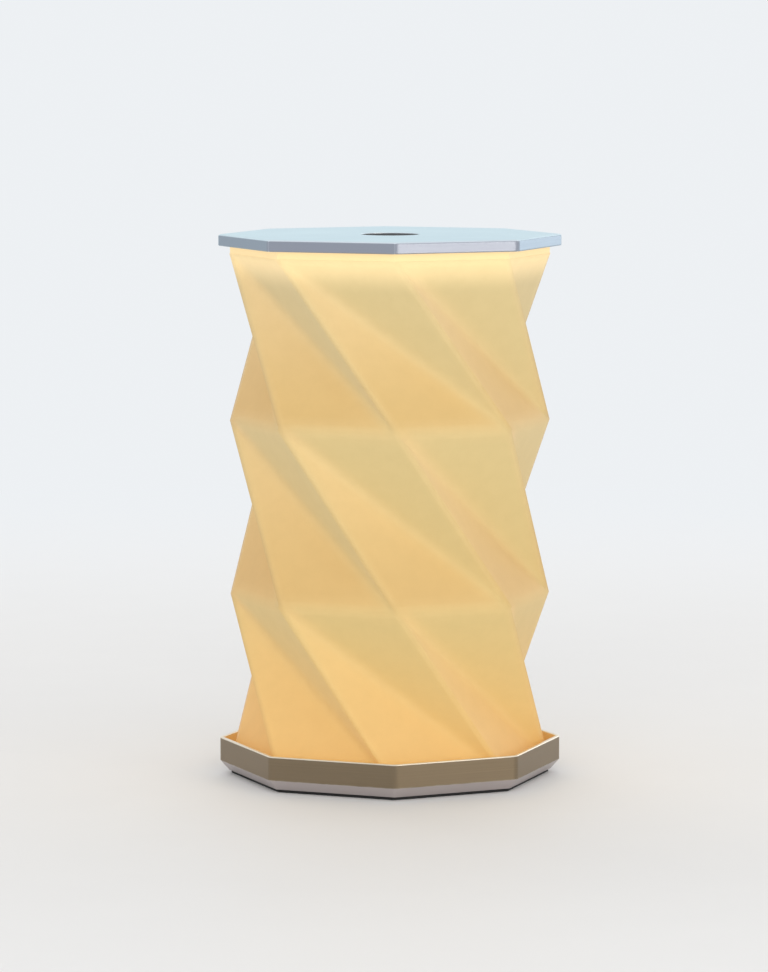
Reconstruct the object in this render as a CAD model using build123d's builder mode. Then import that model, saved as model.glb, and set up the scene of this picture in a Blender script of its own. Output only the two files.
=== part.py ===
"""Collapsible table lamp: a twisted, folded paper shade between an octagonal cover and an octagonal tray.

Millimetres, +Z up. The origin is the middle of the underside of the foot pad. The octagons have their
corners on the X and Y axes, and the corner on -Y is the front one.
"""

import os
from math import atan, cos, degrees, radians, sin, sqrt

from build123d import *

# Octagon shared by the cover and the tray
SIDES = 8
ACROSS_FLATS = 130.0
CORNER_RADIUS = 4.0

# Foot pad and ballast
PAD_THICKNESS = 1.3
PAD_SETBACK = 0.8
PAD_CORNER = 2.0
BALLAST_THICKNESS = 1.2
BALLAST_MARGIN = 6.0

# Tray
TRAY_HEIGHT = 13.8
TRAY_WALL = 1.6
TRAY_FLOOR = 1.0
BEVEL_HEIGHT = 4.1
BEVEL_INSET = 3.6
LIP_EDGE = 0.25

# Folded shade
STOREYS = 3
STOREY_HEIGHT = 71.4
STOREY_TURN = 45.0
FREE_RING_TURN = 1.0
SHADE_SETBACK = 4.67
PAPER = 0.4
FLANGE_THICKNESS = 0.3
FLANGE_WIDTH = 6.4

# Clamp rings at both ends of the shade
RING_SETBACK = 3.2
RING_WIDTH = 8.4
RING_THICKNESS = 1.9
RING_SCREW_INSET = 2.9
RING_SCREW_COUNT = 4

# Cover
COVER_HEIGHT = 4.6
COVER_SKIN = 1.0
COVER_WALL = 1.6
COVER_EDGE = 0.6
BOSS_RADIUS = 2.6
BOSS_HOLE_DEPTH = 2.4

# Chassis panel and lamp cup under it
PANEL_THICKNESS = 1.55
PANEL_OPENING = 14.0
RIB_THICKNESS = 1.2
RIB_START = 16.5
RIB_END = 46.0
CUP_APOTHEM = 22.0
CUP_WALL = 1.4
CUP_DEPTH = 7.0

# Button and push switch
BUTTON_RADIUS = 11.9
BUTTON_GAP = 0.15
BUTTON_RECESS = 0.2
BUTTON_EDGE = 0.3
BUTTON_FLANGE_RADIUS = 13.2
BUTTON_FLANGE = 0.8
BUTTON_TRAVEL = 0.5
SWITCH_SIZE = 6.2
SWITCH_HEIGHT = 1.6
SWITCH_CORNER = 0.4
PLUNGER_RADIUS = 1.6
PLUNGER_GAP = 0.06
PLUNGER_ENTRY = 0.5
RETURN_RING_OUTER = 11.0
RETURN_RING_INNER = 8.6

# Boards, cell and light sources in the cup
BOARD_GAP = 1.2
BOARD_THICKNESS = 1.0
CELL_LENGTH = 32.0
CELL_WIDTH = 26.0
CELL_THICKNESS = 3.6
CELL_ROUNDING = 1.2
CELL_GAP = 0.3
LED_COUNT = 12
LED_MARGIN = 5.2
LED_LENGTH = 3.5
LED_WIDTH = 2.8
LED_HEIGHT = 0.7
LAMP_FLEX_WIDTH = 6.0
FLEX_THICKNESS = 0.2

# Opal cap under the cup
DIFFUSER_HEIGHT = 2.2
DIFFUSER_SKIN = 1.2
DIFFUSER_SPIGOT = 1.0
SPIGOT_HEIGHT = 0.6
DIFFUSER_EDGE = 0.5

# Charging socket in the rear right side of the cover
SOCKET_ANGLE = 67.5
SOCKET_WIDTH = 8.94
SOCKET_HEIGHT = 3.2
SOCKET_DEPTH = 7.3
SOCKET_SHELL = 0.3
SOCKET_DROP = 2.65
TONGUE_WIDTH = 6.7
TONGUE_HEIGHT = 0.7
TONGUE_LENGTH = 4.6
TONGUE_ROOT = 1.4
PORT_WIDTH = 8.8
PORT_HEIGHT = 2.8
CHARGE_BOARD_WIDTH = 16.0
CHARGE_BOARD_LENGTH = 12.0
CHARGE_BOARD_THICKNESS = 0.8
CHARGE_FLEX_WIDTH = 6.0

# Small screws, one thread throughout, with countersunk or pan heads
SCREW_RADIUS = 0.98
SCREW_HEAD_RADIUS = 1.9
SCREW_HEAD_HEIGHT = 0.92
SCREW_HOLE_RADIUS = 1.1
THREAD_RADIUS = 1.0
HEAD_CLEARANCE = 0.05
BOARD_SCREW_INSET = 1.2
PAN_HEAD_RADIUS = 1.7
PAN_HEAD_HEIGHT = 0.9

# General clearance between pieces that slip into each other
FIT = 0.15

# Heights and widths worked out from the sizes above
HALF_TURN = 180.0 / SIDES
HALF_FLATS = ACROSS_FLATS / 2
BEVEL_ANGLE = degrees(atan(BEVEL_INSET / BEVEL_HEIGHT))
FOOT_APOTHEM = HALF_FLATS - BEVEL_INSET
TRAY_BOTTOM = PAD_THICKNESS
BEVEL_TOP = TRAY_BOTTOM + BEVEL_HEIGHT
RIM = TRAY_BOTTOM + TRAY_HEIGHT
FLOOR_TOP = TRAY_BOTTOM + BALLAST_THICKNESS + TRAY_FLOOR
WELL_APOTHEM = HALF_FLATS - TRAY_WALL
WELL_CORNER = CORNER_RADIUS - TRAY_WALL
WELL_BEVEL_TOP = BEVEL_TOP + TRAY_WALL * (1 / cos(radians(BEVEL_ANGLE)) - 1) / (BEVEL_INSET / BEVEL_HEIGHT)
SHADE_HEIGHT = STOREYS * STOREY_HEIGHT
SHADE_TOP = FLOOR_TOP + SHADE_HEIGHT
SHADE_APOTHEM = HALF_FLATS - SHADE_SETBACK
SHADE_RADIUS = SHADE_APOTHEM / cos(radians(HALF_TURN))
FLANGE_INNER = SHADE_APOTHEM - FLANGE_WIDTH
RING_OUTER = SHADE_APOTHEM - RING_SETBACK
RING_INNER = RING_OUTER - RING_WIDTH
RING_SCREW_APOTHEM = FLANGE_INNER - RING_SCREW_INSET
BALLAST_APOTHEM = RING_SCREW_APOTHEM - BALLAST_MARGIN
COVER_TOP = SHADE_TOP + COVER_HEIGHT
SKIN_UNDERSIDE = COVER_TOP - COVER_SKIN
POCKET_APOTHEM = HALF_FLATS - COVER_WALL
PANEL_TOP = SHADE_TOP + PANEL_THICKNESS
CUP_INNER = CUP_APOTHEM - CUP_WALL
CUP_BOTTOM = SHADE_TOP - CUP_DEPTH
BOARD_APOTHEM = CUP_INNER - BOARD_GAP
BOARD_SCREW_DISTANCE = BOARD_APOTHEM - BOARD_SCREW_INSET
LED_DISTANCE = CUP_INNER - LED_MARGIN
BOARD_BOTTOM = SHADE_TOP - BOARD_THICKNESS
BUTTON_FLANGE_BOTTOM = SKIN_UNDERSIDE - BUTTON_FLANGE
LED_BOARD_BOTTOM = CUP_BOTTOM + SPIGOT_HEIGHT
LED_BOARD_TOP = LED_BOARD_BOTTOM + BOARD_THICKNESS
SOCKET_PLANE_HEIGHT = COVER_TOP - SOCKET_DROP

os.makedirs("parts", exist_ok=True)


def save(part, label):
    """Label one finished piece and write its file."""
    part.label = label
    export_step(part, f"parts/{label}.step")


def ring_points(level, radius):
    """Corners of one crease ring. Level 0 is the shade's top, and each level below it stands a turn on."""
    free = FREE_RING_TURN if 0 < level < STOREYS else 0.0
    height = SHADE_TOP - level * STOREY_HEIGHT
    points = []
    for side in range(SIDES):
        angle = radians(side * 360 / SIDES + level * STOREY_TURN + free)
        points.append((radius * cos(angle), radius * sin(angle), height))
    return points


def triangle(*corners):
    """Flat face through three corners."""
    return Face(Wire.make_polygon(corners))


def folded_body(radius):
    """Closed body with the folded facets: each storey has a row of mountain and a row of valley creases."""
    faces = [Face(Wire.make_polygon(ring_points(0, radius)))]
    for level in range(STOREYS):
        upper = ring_points(level, radius)
        lower = ring_points(level + 1, radius)
        for side in range(SIDES):
            following = (side + 1) % SIDES
            faces.append(triangle(upper[side], upper[following], lower[following]))
            faces.append(triangle(upper[side], lower[side], lower[following]))
    faces.append(Face(Wire.make_polygon(ring_points(STOREYS, radius))))
    return Solid(Shell(faces))


def clamp_ring(seat, hole_radius):
    """Octagonal ring that stands on its seat plane, stepped over the flange and holed in every other side."""
    with BuildPart() as ring:
        with BuildSketch(seat):
            RegularPolygon(RING_OUTER, SIDES, major_radius=False)
            RegularPolygon(RING_INNER, SIDES, major_radius=False, mode=Mode.SUBTRACT)
        extrude(amount=RING_THICKNESS)
        with BuildSketch(seat):
            RegularPolygon(HALF_FLATS, SIDES, major_radius=False)
            RegularPolygon(FLANGE_INNER - FIT, SIDES, major_radius=False, mode=Mode.SUBTRACT)
        extrude(amount=FLANGE_THICKNESS, mode=Mode.SUBTRACT)
        with Locations(seat.offset(RING_THICKNESS)):
            with PolarLocations(RING_SCREW_APOTHEM, RING_SCREW_COUNT, HALF_TURN):
                Hole(hole_radius, depth=RING_THICKNESS)
    return ring.part


# Planes that several pieces share. Those that face down are turned by half a quarter, so that screws
# placed from them stand over the same sides of the octagon as screws placed from planes that face up.
under_tray = Plane(origin=(0, 0, TRAY_BOTTOM), x_dir=(1, 1, 0), z_dir=(0, 0, -1))
under_panel = Plane(origin=(0, 0, SHADE_TOP), x_dir=(1, 1, 0), z_dir=(0, 0, -1))
over_panel = Plane.XY.offset(PANEL_TOP)
outward = Vector(cos(radians(SOCKET_ANGLE)), sin(radians(SOCKET_ANGLE)), 0)
along_side = Vector(-outward.Y, outward.X, 0)
socket_face = Plane(
    origin=outward * POCKET_APOTHEM + Vector(0, 0, SOCKET_PLANE_HEIGHT), x_dir=along_side, z_dir=outward
)
sunk_head = SCREW_HEAD_RADIUS + HEAD_CLEARANCE

# Foot pad: black sheet glued under the tray and the ballast plate
with BuildPart() as foot_pad:
    with BuildSketch() as pad_outline:
        RegularPolygon(FOOT_APOTHEM - PAD_SETBACK, SIDES, major_radius=False)
        fillet(pad_outline.vertices(), PAD_CORNER)
    extrude(amount=PAD_THICKNESS)
    chamfer(foot_pad.faces().sort_by(Axis.Z)[0].edges(), LIP_EDGE)
save(foot_pad.part, "foot_pad")

# Ballast plate: steel, in a recess of the tray's underside, inside the screws
with BuildPart() as ballast_plate:
    with BuildSketch(Plane.XY.offset(TRAY_BOTTOM)):
        RegularPolygon(BALLAST_APOTHEM - FIT, SIDES, major_radius=False)
    extrude(amount=BALLAST_THICKNESS)
save(ballast_plate.part, "ballast_plate")

# Tray: straight wall over a bevelled foot, with the same bevel inside
with BuildPart() as base_tray:
    with BuildSketch(Plane.XY.offset(BEVEL_TOP)) as tray_outline:
        RegularPolygon(HALF_FLATS, SIDES, major_radius=False)
        fillet(tray_outline.vertices(), CORNER_RADIUS)
    extrude(amount=RIM - BEVEL_TOP)
    extrude(tray_outline.sketch, amount=-BEVEL_HEIGHT, taper=BEVEL_ANGLE)
    with BuildSketch(Plane.XY.offset(WELL_BEVEL_TOP)) as well_outline:
        RegularPolygon(WELL_APOTHEM, SIDES, major_radius=False)
        fillet(well_outline.vertices(), WELL_CORNER)
    extrude(amount=RIM - WELL_BEVEL_TOP, mode=Mode.SUBTRACT)
    extrude(well_outline.sketch, amount=FLOOR_TOP - WELL_BEVEL_TOP, taper=BEVEL_ANGLE, mode=Mode.SUBTRACT)
    chamfer(base_tray.faces().sort_by(Axis.Z)[-1].edges(), LIP_EDGE)
    with BuildSketch(Plane.XY.offset(TRAY_BOTTOM)):
        RegularPolygon(BALLAST_APOTHEM, SIDES, major_radius=False)
    extrude(amount=BALLAST_THICKNESS, mode=Mode.SUBTRACT)
    with Locations(under_tray):
        with PolarLocations(RING_SCREW_APOTHEM, RING_SCREW_COUNT, HALF_TURN):
            CounterSinkHole(
                SCREW_HOLE_RADIUS, sunk_head, depth=BALLAST_THICKNESS + TRAY_FLOOR, counter_sink_angle=90
            )
save(base_tray.part, "base_tray")

# Shade: one sheet folded into twisted storeys, with a flange folded in at each end
with BuildPart() as paper_shade:
    add(folded_body(SHADE_RADIUS))
    with BuildPart(mode=Mode.PRIVATE) as hollow:
        add(folded_body(SHADE_RADIUS - PAPER / cos(radians(HALF_TURN))))
        with Locations((0, 0, FLOOR_TOP + FLANGE_THICKNESS)):
            Cylinder(
                2 * SHADE_RADIUS,
                SHADE_HEIGHT - 2 * FLANGE_THICKNESS,
                align=(Align.CENTER, Align.CENTER, Align.MIN),
                mode=Mode.INTERSECT,
            )
    add(hollow.part, mode=Mode.SUBTRACT)
    for flange_bottom in (FLOOR_TOP, SHADE_TOP - FLANGE_THICKNESS):
        with BuildSketch(Plane.XY.offset(flange_bottom)):
            RegularPolygon(FLANGE_INNER, SIDES, major_radius=False)
        extrude(amount=FLANGE_THICKNESS, mode=Mode.SUBTRACT)
save(paper_shade.part, "paper_shade")

# Lower ring, with threaded holes
over_floor = Plane.XY.offset(FLOOR_TOP)
lower_clamp_ring = clamp_ring(over_floor, THREAD_RADIUS)
save(lower_clamp_ring, "lower_clamp_ring")

# Its screws: countersunk, from below through the tray
to_head = (Align.CENTER, Align.CENTER, Align.MAX)
with BuildPart() as base_screws:
    with Locations(under_tray):
        with PolarLocations(RING_SCREW_APOTHEM, RING_SCREW_COUNT, HALF_TURN):
            Cone(SCREW_RADIUS, SCREW_HEAD_RADIUS, SCREW_HEAD_HEIGHT, align=to_head)
            Cylinder(SCREW_RADIUS, BALLAST_THICKNESS + TRAY_FLOOR + RING_THICKNESS, align=to_head)
save(base_screws.part, "base_screws")

# Upper ring, with clear holes
upper_clamp_ring = clamp_ring(under_panel, SCREW_HOLE_RADIUS)
save(upper_clamp_ring, "upper_clamp_ring")

# Its screws: pan heads under the ring, shanks through the panel into the bosses of the cover
with BuildPart() as top_screws:
    with BuildSketch(under_panel.offset(RING_THICKNESS)):
        with PolarLocations(RING_SCREW_APOTHEM, RING_SCREW_COUNT, HALF_TURN):
            Circle(SCREW_RADIUS)
    extrude(amount=FIT - RING_THICKNESS - PANEL_THICKNESS - BOSS_HOLE_DEPTH)
    with BuildSketch(under_panel.offset(RING_THICKNESS)):
        with PolarLocations(RING_SCREW_APOTHEM, RING_SCREW_COUNT, HALF_TURN):
            Circle(PAN_HEAD_RADIUS)
    extrude(amount=PAN_HEAD_HEIGHT)
save(top_screws.part, "top_screws")

# Cover: aluminium shell with bosses, the button's opening and the port of the charging socket
with BuildPart() as top_cover:
    with BuildSketch(Plane.XY.offset(SHADE_TOP)) as cover_outline:
        RegularPolygon(HALF_FLATS, SIDES, major_radius=False)
        fillet(cover_outline.vertices(), CORNER_RADIUS)
    extrude(amount=COVER_HEIGHT)
    chamfer(top_cover.faces().sort_by(Axis.Z)[-1].edges(), COVER_EDGE)
    chamfer(top_cover.faces().sort_by(Axis.Z)[0].edges(), LIP_EDGE)
    with BuildSketch(Plane.XY.offset(SHADE_TOP)) as pocket_outline:
        RegularPolygon(POCKET_APOTHEM, SIDES, major_radius=False)
        fillet(pocket_outline.vertices(), CORNER_RADIUS - COVER_WALL)
    extrude(amount=COVER_HEIGHT - COVER_SKIN, mode=Mode.SUBTRACT)
    with BuildSketch(over_panel):
        with PolarLocations(RING_SCREW_APOTHEM, RING_SCREW_COUNT, HALF_TURN):
            Circle(BOSS_RADIUS)
    extrude(amount=SKIN_UNDERSIDE - PANEL_TOP)
    with BuildSketch(over_panel):
        with PolarLocations(RING_SCREW_APOTHEM, RING_SCREW_COUNT, HALF_TURN):
            Circle(THREAD_RADIUS)
    extrude(amount=BOSS_HOLE_DEPTH, mode=Mode.SUBTRACT)
    with BuildSketch(Plane.XY.offset(SKIN_UNDERSIDE)):
        Circle(BUTTON_RADIUS + BUTTON_GAP)
    extrude(amount=COVER_SKIN, mode=Mode.SUBTRACT)
    with BuildSketch(socket_face):
        SlotOverall(PORT_WIDTH, PORT_HEIGHT)
    extrude(amount=COVER_WALL + CORNER_RADIUS, mode=Mode.SUBTRACT)
save(top_cover.part, "top_cover")

# Chassis: panel with a rim and ribs up to the cover's skin, and the lamp cup below
with BuildPart() as top_chassis:
    with BuildSketch(Plane.XY.offset(SHADE_TOP)) as panel_outline:
        RegularPolygon(POCKET_APOTHEM - FIT, SIDES, major_radius=False)
        fillet(panel_outline.vertices(), CORNER_RADIUS - COVER_WALL)
    extrude(amount=PANEL_THICKNESS)
    with BuildSketch(over_panel):
        with PolarLocations((RIB_START + RIB_END) / 2, SIDES):
            Rectangle(RIB_END - RIB_START, RIB_THICKNESS)
    extrude(amount=SKIN_UNDERSIDE - PANEL_TOP)
    with BuildSketch(Plane.XY.offset(CUP_BOTTOM)):
        RegularPolygon(CUP_APOTHEM, SIDES, major_radius=False)
        RegularPolygon(CUP_INNER, SIDES, major_radius=False, mode=Mode.SUBTRACT)
    extrude(amount=CUP_DEPTH)
    with BuildSketch(Plane.XY.offset(SHADE_TOP)):
        Circle(PANEL_OPENING)
    extrude(amount=PANEL_THICKNESS, mode=Mode.SUBTRACT)
    with BuildSketch(Plane.XY.offset(SHADE_TOP)):
        with PolarLocations(BOARD_SCREW_DISTANCE, 2, 90):
            Circle(THREAD_RADIUS)
    extrude(amount=PANEL_THICKNESS, mode=Mode.SUBTRACT)
    with BuildSketch(Plane.XY.offset(SHADE_TOP)):
        with PolarLocations(RING_SCREW_APOTHEM, RING_SCREW_COUNT, HALF_TURN):
            Circle(SCREW_HOLE_RADIUS)
    extrude(amount=PANEL_THICKNESS, mode=Mode.SUBTRACT)
    with BuildSketch(socket_face):
        Rectangle(SOCKET_WIDTH + 2 * FIT, 2 * COVER_HEIGHT)
    extrude(amount=-SOCKET_DEPTH - FIT, mode=Mode.SUBTRACT)
save(top_chassis.part, "top_chassis")

# Button: disc in the cover's opening, held in by a flange under the skin
with BuildPart() as switch_button:
    with BuildSketch(Plane.XY.offset(BUTTON_FLANGE_BOTTOM)):
        Circle(BUTTON_FLANGE_RADIUS)
    extrude(amount=BUTTON_FLANGE)
    with BuildSketch(Plane.XY.offset(SKIN_UNDERSIDE)):
        Circle(BUTTON_RADIUS)
    extrude(amount=COVER_SKIN - BUTTON_RECESS)
    chamfer(switch_button.faces().sort_by(Axis.Z)[-1].edges(), BUTTON_EDGE)
save(switch_button.part, "switch_button")

# Plunger: stands on the button's underside and runs in the push switch
SWITCH_TOP = SHADE_TOP + SWITCH_HEIGHT
with BuildPart() as switch_plunger:
    with BuildSketch(Plane.XY.offset(SWITCH_TOP - PLUNGER_ENTRY)):
        Circle(PLUNGER_RADIUS)
    extrude(amount=BUTTON_FLANGE_BOTTOM - SWITCH_TOP + PLUNGER_ENTRY)
save(switch_plunger.part, "switch_plunger")

# Push switch: square body on the control board, with the bore that the plunger runs in
with BuildPart() as tactile_switch:
    with BuildSketch(Plane.XY.offset(SHADE_TOP)) as switch_outline:
        Rectangle(SWITCH_SIZE, SWITCH_SIZE)
        fillet(switch_outline.vertices(), SWITCH_CORNER)
    extrude(amount=SWITCH_HEIGHT)
    with Locations((0, 0, SWITCH_TOP)):
        Hole(PLUNGER_RADIUS + PLUNGER_GAP, depth=PLUNGER_ENTRY + BUTTON_TRAVEL + PLUNGER_GAP)
save(tactile_switch.part, "tactile_switch")

# Return ring: silicone, between the board and the button's flange
with BuildPart() as return_ring:
    with BuildSketch(Plane.XY.offset(SHADE_TOP)):
        Circle(RETURN_RING_OUTER)
        Circle(RETURN_RING_INNER, mode=Mode.SUBTRACT)
    extrude(amount=BUTTON_FLANGE_BOTTOM - SHADE_TOP)
save(return_ring.part, "return_ring")

# Control board: against the underside of the panel
with BuildPart() as control_board:
    with BuildSketch(Plane.XY.offset(BOARD_BOTTOM)):
        RegularPolygon(BOARD_APOTHEM, SIDES, major_radius=False)
        with PolarLocations(BOARD_SCREW_DISTANCE, 2, 90):
            Circle(SCREW_HOLE_RADIUS, mode=Mode.SUBTRACT)
    extrude(amount=BOARD_THICKNESS)
save(control_board.part, "control_board")

# Screws of the control board: pan heads below it
with BuildPart() as board_screws:
    with BuildSketch(Plane.XY.offset(BOARD_BOTTOM)):
        with PolarLocations(BOARD_SCREW_DISTANCE, 2, 90):
            Circle(SCREW_RADIUS)
    extrude(amount=BOARD_THICKNESS + PANEL_THICKNESS)
    with BuildSketch(Plane.XY.offset(BOARD_BOTTOM)):
        with PolarLocations(BOARD_SCREW_DISTANCE, 2, 90):
            Circle(PAN_HEAD_RADIUS)
    extrude(amount=-PAN_HEAD_HEIGHT)
save(board_screws.part, "board_screws")

# Cell: flat pouch under the control board
with BuildPart() as battery:
    with BuildSketch(Plane.XY.offset(BOARD_BOTTOM - CELL_GAP)) as cell_outline:
        Rectangle(CELL_LENGTH, CELL_WIDTH)
        fillet(cell_outline.vertices(), CELL_ROUNDING)
    extrude(amount=-CELL_THICKNESS)
save(battery.part, "battery")

# Lamp board: metal plate on the diffuser's spigot
with BuildPart() as led_board:
    with BuildSketch(Plane.XY.offset(LED_BOARD_BOTTOM)):
        RegularPolygon(CUP_INNER - FIT, SIDES, major_radius=False)
    extrude(amount=BOARD_THICKNESS)
save(led_board.part, "led_board")

# Light sources: a ring of small blocks under that board
with BuildPart() as leds:
    with BuildSketch(Plane.XY.offset(LED_BOARD_BOTTOM)):
        with PolarLocations(LED_DISTANCE, LED_COUNT):
            Rectangle(LED_WIDTH, LED_LENGTH)
    extrude(amount=-LED_HEIGHT)
save(leds.part, "leds")

# Strip between the two boards, past the cell
with BuildPart() as lamp_flex:
    with BuildSketch(Plane.XY.offset(LED_BOARD_TOP)):
        with Locations((BOARD_APOTHEM - 2 * FLEX_THICKNESS, 0)):
            Rectangle(FLEX_THICKNESS, LAMP_FLEX_WIDTH)
    extrude(amount=BOARD_BOTTOM - LED_BOARD_TOP)
save(lamp_flex.part, "lamp_flex")

# Diffuser: opal cap whose spigot stands in the cup and carries the lamp board
with BuildPart() as diffuser:
    with BuildSketch(Plane.XY.offset(CUP_BOTTOM)):
        RegularPolygon(CUP_APOTHEM, SIDES, major_radius=False)
    extrude(amount=-DIFFUSER_HEIGHT)
    chamfer(diffuser.faces().sort_by(Axis.Z)[0].edges(), DIFFUSER_EDGE)
    with BuildSketch(Plane.XY.offset(CUP_BOTTOM)):
        RegularPolygon(CUP_INNER - FIT, SIDES, major_radius=False)
    extrude(amount=SPIGOT_HEIGHT)
    with BuildSketch(Plane.XY.offset(LED_BOARD_BOTTOM)):
        RegularPolygon(CUP_INNER - FIT - DIFFUSER_SPIGOT, SIDES, major_radius=False)
    extrude(amount=DIFFUSER_SKIN - DIFFUSER_HEIGHT - SPIGOT_HEIGHT, mode=Mode.SUBTRACT)
save(diffuser.part, "diffuser")

# Charging socket: drawn metal shell behind the port, open to the outside
with BuildPart() as charging_socket:
    with BuildSketch(socket_face):
        SlotOverall(SOCKET_WIDTH, SOCKET_HEIGHT)
    extrude(amount=-SOCKET_DEPTH)
    with BuildSketch(socket_face):
        SlotOverall(SOCKET_WIDTH - 2 * SOCKET_SHELL, SOCKET_HEIGHT - 2 * SOCKET_SHELL)
    extrude(amount=SOCKET_SHELL - SOCKET_DEPTH, mode=Mode.SUBTRACT)
save(charging_socket.part, "charging_socket")

# Socket insert: moulded root with the tongue that the plug goes over
with BuildPart() as socket_insert:
    insert_back = socket_face.offset(SOCKET_SHELL - SOCKET_DEPTH)
    with BuildSketch(insert_back):
        SlotOverall(SOCKET_WIDTH - 2 * SOCKET_SHELL - FIT, SOCKET_HEIGHT - 2 * SOCKET_SHELL - FIT)
    extrude(amount=TONGUE_ROOT)
    with BuildSketch(insert_back):
        Rectangle(TONGUE_WIDTH, TONGUE_HEIGHT)
    extrude(amount=TONGUE_ROOT + TONGUE_LENGTH)
save(socket_insert.part, "socket_insert")

# Charging board: on the panel, notched round the socket
with BuildPart() as charging_board:
    with BuildSketch(over_panel):
        with PolarLocations(POCKET_APOTHEM - FIT, 1, SOCKET_ANGLE):
            Rectangle(CHARGE_BOARD_LENGTH, CHARGE_BOARD_WIDTH, align=(Align.MAX, Align.CENTER))
    extrude(amount=CHARGE_BOARD_THICKNESS)
    with BuildSketch(socket_face):
        Rectangle(SOCKET_WIDTH + FIT, 2 * COVER_HEIGHT)
    extrude(amount=-SOCKET_DEPTH - FIT / 2, mode=Mode.SUBTRACT)
save(charging_board.part, "charging_board")

# Charging strip: from that board over the panel and down to the control board
CHARGE_BOARD_REAR = POCKET_APOTHEM - FIT - CHARGE_BOARD_LENGTH
FLEX_BEND = sqrt(PANEL_OPENING**2 - (CHARGE_FLEX_WIDTH / 2) ** 2) - 2 * FLEX_THICKNESS
flex_side = Plane(origin=(0, 0, 0), x_dir=outward, z_dir=-along_side)
with BuildPart() as charging_flex:
    with BuildSketch(flex_side):
        with BuildLine():
            Polyline(
                (CHARGE_BOARD_REAR, PANEL_TOP),
                (CHARGE_BOARD_REAR, PANEL_TOP + FLEX_THICKNESS),
                (FLEX_BEND, PANEL_TOP + FLEX_THICKNESS),
                (FLEX_BEND, SHADE_TOP),
                (FLEX_BEND + FLEX_THICKNESS, SHADE_TOP),
                (FLEX_BEND + FLEX_THICKNESS, PANEL_TOP),
                close=True,
            )
        make_face()
    extrude(amount=CHARGE_FLEX_WIDTH / 2, both=True)
save(charging_flex.part, "charging_flex")

print(f"height {COVER_TOP:.2f}, rim {RIM:.2f}, the cover comes down {SHADE_TOP - RIM:.2f} to the rim")
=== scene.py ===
"""Looks of a collapsible table lamp: a glowing folded paper shade between two brushed metal octagons."""

from math import cos, pi, radians, sin

import bmesh
import bpy
from bpy.props import FloatProperty, FloatVectorProperty, IntProperty, PointerProperty
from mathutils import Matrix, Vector


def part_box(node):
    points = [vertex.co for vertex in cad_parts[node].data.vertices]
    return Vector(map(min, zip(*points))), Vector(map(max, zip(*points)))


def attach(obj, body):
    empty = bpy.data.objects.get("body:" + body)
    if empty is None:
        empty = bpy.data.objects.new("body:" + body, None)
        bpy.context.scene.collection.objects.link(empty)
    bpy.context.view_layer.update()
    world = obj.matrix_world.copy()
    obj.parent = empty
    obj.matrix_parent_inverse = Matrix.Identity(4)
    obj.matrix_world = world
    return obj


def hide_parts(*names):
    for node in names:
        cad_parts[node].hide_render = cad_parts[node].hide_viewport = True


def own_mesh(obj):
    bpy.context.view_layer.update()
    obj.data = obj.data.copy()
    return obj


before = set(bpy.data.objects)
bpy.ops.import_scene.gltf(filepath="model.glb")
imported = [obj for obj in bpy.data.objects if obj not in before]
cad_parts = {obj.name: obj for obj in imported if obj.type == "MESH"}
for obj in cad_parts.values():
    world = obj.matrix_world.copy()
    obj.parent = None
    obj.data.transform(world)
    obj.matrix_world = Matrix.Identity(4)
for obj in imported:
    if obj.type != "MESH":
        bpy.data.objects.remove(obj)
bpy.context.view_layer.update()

bl_info = {
    "name": "Folded Paper Table Lamp",
    "version": (1, 0, 0),
    "blender": (4, 5, 0),
    "location": "View3D > Sidebar > Paper Lamp",
    "description": "Folds the shade and finishes the pieces of a collapsible table lamp",
    "category": "Object",
}

# Places read from the frame, in metres
SHADE_LOW, SHADE_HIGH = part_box("paper_shade")
COVER_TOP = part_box("top_cover")[1][2]
TRAY_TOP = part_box("base_tray")[1][2]
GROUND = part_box("foot_pad")[0][2]
SIDES = 8
HALF_SIDE = pi / SIDES

# The folded sheet: corner radius, side, strip of one storey, slant of its creases, share of a side that its
# glued seam takes, and how much of the paper's thickness its corners stand back
SHADE_RADIUS = SHADE_HIGH[0]
SIDE_LENGTH = 2.0 * SHADE_RADIUS * sin(HALF_SIDE)
STRIP_HEIGHT = 0.07966
CREASE_SHIFT = 0.03534
SEAM_SHARE = 0.13
CORNER_SETBACK = 0.05

# The sheet stands upright round the clamp rings, clear of the screw heads, and folds between these heights
CLEARANCE = 0.0003
UPPER_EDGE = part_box("top_screws")[0][2] - CLEARANCE
LOWER_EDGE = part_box("lower_clamp_ring")[1][2] + CLEARANCE

# Softness of the folds: mesh steps of evening out, reach of a valley, of its ends and of a ring, how a
# valley's tone bows, and within what distance points are merged
CREASE_BLUR = 1
VALLEY_BLUR = 5
VALLEY_REACH = (0.35, 0.10)
VALLEY_ENDS = (0.02, 0.14)
RING_REACH = 0.07
TONE_BOW = 0.12
BOW_MIDDLE = 0.65
MERGE_DISTANCE = 0.00002

# Light through the paper: over how many storeys it changes at a facet's end, at the top and at the foot, and
# how far, then how dark seam and rings are, and how cloudy the sheet is
DEEP_REACH = (0.15, 1.0)
DEEP_SHARE = 0.9
TOP_REACH = 0.20
TOP_SHARE = 0.85
FOOT_REACH = 1.1
FOOT_SHARE = 0.45
SEAM_DARKNESS = 0.35
RING_DARKNESS = 0.06
CLOUD_TONE = (0.97, 0.965, 0.95)
CLOUD_DEPTH = 0.975

# Metal octagons: half the width across flat sides, top of the foot's bevel, and where the painted light and
# shade on their edges starts and fades
METAL_REACH = 0.065
BEVEL_TOP = 0.0054
EDGE_DEPTH = 0.0006
EDGE_START = 0.0005
EDGE_FADE = 0.0002

# Use: how much finger marks roughen metal, and the tone of dust
FINGER_MARKS = 0.10
DUST = (0.5, 0.5, 0.48)

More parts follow.
